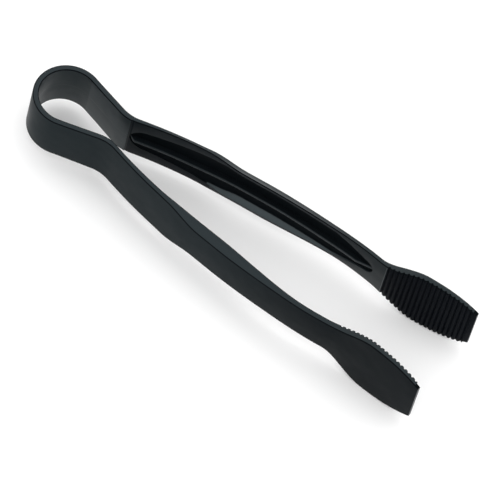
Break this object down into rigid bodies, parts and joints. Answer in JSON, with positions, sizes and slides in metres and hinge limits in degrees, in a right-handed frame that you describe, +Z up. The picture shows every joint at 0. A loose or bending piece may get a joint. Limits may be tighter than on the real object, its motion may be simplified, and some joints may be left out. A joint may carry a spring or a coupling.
{
  "type": "kitchen tongs",
  "caption": "One-piece moulded kitchen tongs: a springy bow, channel-section arms with a rib inside, and leaf-shaped grip pads with cross serrations.",
  "frame": {"origin": "under the middle of the bounding box, level with the lower edge of the grip pads: the tongs lie on one side", "axes": "+X runs from the bow to the tips, +Y is the opening between the arms towards the far arm, +Z is up along the width of the band"},
  "size_m": [0.229, 0.0514, 0.0362],
  "materials": {
    "black_plastic": "satin, with a fine moulded texture"
  },
  "bodies": {
    "bow": {"bow_back": "black_plastic"},
    "far_shoulder": {"far_bow_shoulder": "black_plastic"},
    "far_leg": {"far_bow_leg": "black_plastic"},
    "far_arm": {"far_arm": "black_plastic", "far_grip_pad": "black_plastic"},
    "near_shoulder": {"near_bow_shoulder": "black_plastic"},
    "near_leg": {"near_bow_leg": "black_plastic"},
    "near_arm": {"near_arm": "black_plastic", "near_grip_pad": "black_plastic"}
  },
  "joints": [
    {"name": "far_back_bend", "type": "hinge", "parent": "bow", "child": "far_shoulder", "pos_m": [-0.11046, 0.00861, 0.01809], "axis": [0, 0, -1], "range_deg": [-0.8, 2.35], "stiffness_Nm_per_rad": 5.6},
    {"name": "far_shoulder_bend", "type": "hinge", "parent": "far_shoulder", "child": "far_leg", "pos_m": [-0.0936, 0.01471, 0.01809], "axis": [0, 0, -1], "range_deg": [-0.76, 2.2], "stiffness_Nm_per_rad": 5.6},
    {"name": "far_neck_bend", "type": "hinge", "parent": "far_leg", "child": "far_arm", "pos_m": [-0.07233, 0.00873, 0.01809], "axis": [0, 0, -1], "range_deg": [-0.62, 1.8], "stiffness_Nm_per_rad": 5.6},
    {"name": "near_back_bend", "type": "hinge", "parent": "bow", "child": "near_shoulder", "pos_m": [-0.11046, -0.00861, 0.01809], "axis": [0, 0, 1], "range_deg": [-0.8, 2.35], "stiffness_Nm_per_rad": 5.6},
    {"name": "near_shoulder_bend", "type": "hinge", "parent": "near_shoulder", "child": "near_leg", "pos_m": [-0.0936, -0.01471, 0.01809], "axis": [0, 0, 1], "range_deg": [-0.76, 2.2], "stiffness_Nm_per_rad": 5.6},
    {"name": "near_neck_bend", "type": "hinge", "parent": "near_leg", "child": "near_arm", "pos_m": [-0.07233, -0.00873, 0.01809], "axis": [0, 0, 1], "range_deg": [-0.62, 1.8], "stiffness_Nm_per_rad": 5.6}
  ],
  "couplings": [
    {"joint": "far_shoulder_bend", "follows": "far_back_bend", "ratio": 0.93},
    {"joint": "far_neck_bend", "follows": "far_back_bend", "ratio": 0.76},
    {"joint": "near_shoulder_bend", "follows": "near_back_bend", "ratio": 0.93},
    {"joint": "near_neck_bend", "follows": "near_back_bend", "ratio": 0.76}
  ]
}
